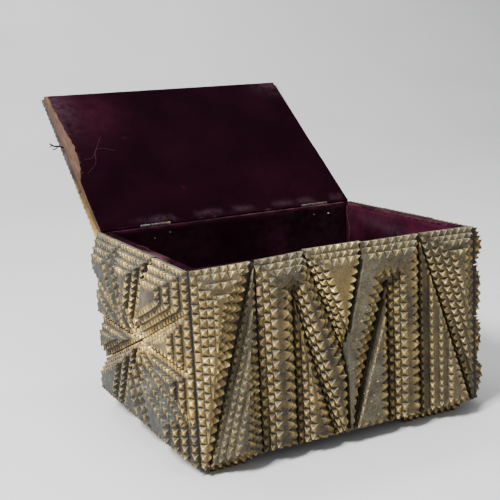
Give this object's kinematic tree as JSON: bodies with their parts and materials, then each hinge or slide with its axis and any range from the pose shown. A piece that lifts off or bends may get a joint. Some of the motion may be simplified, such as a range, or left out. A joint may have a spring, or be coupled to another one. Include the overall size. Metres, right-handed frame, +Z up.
{
  "type": "tramp art box",
  "caption": "Rectangular wooden keepsake box with a hinged lid, velvet lining and stepped stacks of notch-edged layers glued over its sides as folk ornament.",
  "frame": {"origin": "on the floor, in the middle of the whole object's length and width as it stands with its lid open", "axes": "+Z up, the front looks along -Y, the hinge runs along +X across the back"},
  "size_m": [0.2844, 0.3688, 0.2683],
  "materials": {
    "bronze_paint": "aged bronze-gold paint, dusty, rubbed bright on the edges",
    "bronze_paint_warm": "aged gold paint, warmer, dark in the recesses",
    "bare_wood": "bare softwood board, stained by age",
    "velvet": "worn dark plum velvet",
    "hinge_steel": "dull plated steel"
  },
  "bodies": {
    "box": {"back_inverted_1": "bronze_paint", "back_inverted_2": "bronze_paint", "back_inverted_3": "bronze_paint", "back_upright_1": "bronze_paint", "back_upright_2": "bronze_paint", "carcass_back": "bare_wood", "carcass_bottom": "bare_wood", "carcass_front": "bare_wood", "carcass_left": "bare_wood", "carcass_right": "bare_wood", "foot_back_left": "bronze_paint", "foot_back_right": "bronze_paint", "foot_front_left": "bronze_paint", "foot_front_right": "bronze_paint", "front_centre_v": "bronze_paint", "front_left_corner_fan": "bronze_paint", "front_left_inner_triangle": "bronze_paint", "front_left_upright": "bronze_paint", "front_left_zigzag": "bronze_paint", "front_right_corner_fan": "bronze_paint", "front_right_inner_triangle": "bronze_paint", "front_right_upright": "bronze_paint", "front_right_zigzag": "bronze_paint", "hinge_left_fixed": "hinge_steel", "hinge_right_fixed": "hinge_steel", "left_star_back_bottom": "bronze_paint_warm", "left_star_back_high": "bronze_paint_warm", "left_star_back_low": "bronze_paint_warm", "left_star_back_top": "bronze_paint_warm", "left_star_bottom": "bronze_paint_warm", "left_star_front_bottom": "bronze_paint_warm", "left_star_front_high": "bronze_paint_warm", "left_star_front_low": "bronze_paint_warm", "left_star_front_top": "bronze_paint_warm", "left_star_top": "bronze_paint_warm", "right_star_back_bottom": "bronze_paint_warm", "right_star_back_high": "bronze_paint_warm", "right_star_back_low": "bronze_paint_warm", "right_star_back_top": "bronze_paint_warm", "right_star_bottom": "bronze_paint_warm", "right_star_front_bottom": "bronze_paint_warm", "right_star_front_high": "bronze_paint_warm", "right_star_front_low": "bronze_paint_warm", "right_star_front_top": "bronze_paint_warm", "right_star_top": "bronze_paint_warm", "velvet_lining": "velvet"},
    "lid": {"hinge_left_moving": "hinge_steel", "hinge_right_moving": "hinge_steel", "lid_board": "bare_wood", "lid_border": "bronze_paint", "lid_triangle_back": "bronze_paint", "lid_triangle_front": "bronze_paint", "lid_triangle_left": "bronze_paint", "lid_triangle_right": "bronze_paint", "lid_velvet": "velvet"}
  },
  "joints": [
    {"name": "lid_hinge", "type": "hinge", "parent": "box", "child": "lid", "pos_m": [0, 0.02532, 0.1548], "axis": [1, 0, 0], "range_deg": [0, 142.7]}
  ]
}
